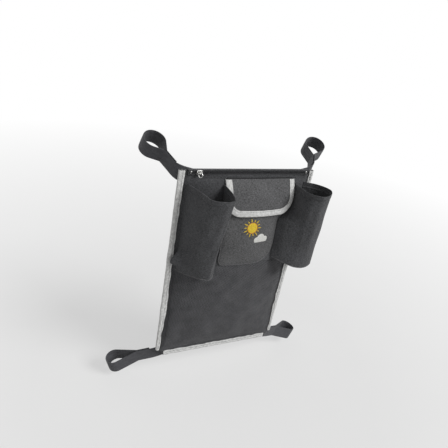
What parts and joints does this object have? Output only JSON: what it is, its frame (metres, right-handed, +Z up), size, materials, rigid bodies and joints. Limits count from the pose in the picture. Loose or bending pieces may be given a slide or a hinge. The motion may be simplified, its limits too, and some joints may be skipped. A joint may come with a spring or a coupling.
{
  "type": "stroller organizer",
  "caption": "Flat hanging cloth bag with a zipped main compartment, mesh lower front, flap pocket, side bottle pockets and looped webbing straps.",
  "frame": {"origin": "on the rear face of the back panel, at the middle of its bottom edge", "axes": "+X across the bag to the right as the user sees it, -Y out of the bag's front towards the user, +Z up"},
  "size_m": [0.4928, 0.1776, 0.5338],
  "materials": {
    "cloth": "plain-woven charcoal polyester",
    "net": "fine black net",
    "silver_binding": "silver-grey reflective binding tape",
    "webbing": "black woven webbing",
    "touch_tape": "black hook-and-loop tape",
    "zip_tape": "black herringbone zip tape",
    "zip_coil": "black nylon coil",
    "nickel": "bright nickel"
  },
  "bodies": {
    "bag": {"back_panel": "cloth", "front_panel": "cloth", "mesh_panel": "net", "top_facing": "cloth", "zip_tape_upper": "zip_tape", "zip_tape_lower": "zip_tape", "zip_coil_upper": "zip_coil", "zip_coil_lower": "zip_coil", "zip_stop_left": "nickel", "zip_stop_right": "nickel", "left_binding": "silver_binding", "right_binding": "silver_binding", "bottom_binding": "silver_binding", "centre_pocket": "cloth", "pocket_flap": "cloth", "flap_binding": "silver_binding", "flap_hook_tape": "touch_tape", "pocket_loop_tape": "touch_tape", "left_bottle_pocket": "cloth", "left_bottle_base": "cloth", "right_bottle_pocket": "cloth", "right_bottle_base": "cloth", "upper_left_strap": "webbing", "upper_left_hook_tape": "touch_tape", "upper_left_loop_tape": "touch_tape", "upper_right_strap": "webbing", "upper_right_hook_tape": "touch_tape", "upper_right_loop_tape": "touch_tape", "lower_left_strap": "webbing", "lower_left_hook_tape": "touch_tape", "lower_left_loop_tape": "touch_tape", "lower_right_strap": "webbing", "lower_right_hook_tape": "touch_tape", "lower_right_loop_tape": "touch_tape"},
    "slider": {"zip_slider": "nickel"},
    "pull": {"zip_pull": "nickel"}
  },
  "joints": [
    {"name": "zip_slide", "type": "slide", "parent": "bag", "child": "slider", "axis": [1, 0, 0], "range_m": [0, 0.22]},
    {"name": "pull_swing", "type": "hinge", "parent": "slider", "child": "pull", "pos_m": [-0.11, -0.0136, 0.4365], "axis": [-1, 0, 0], "range_deg": [0, 135]}
  ]
}
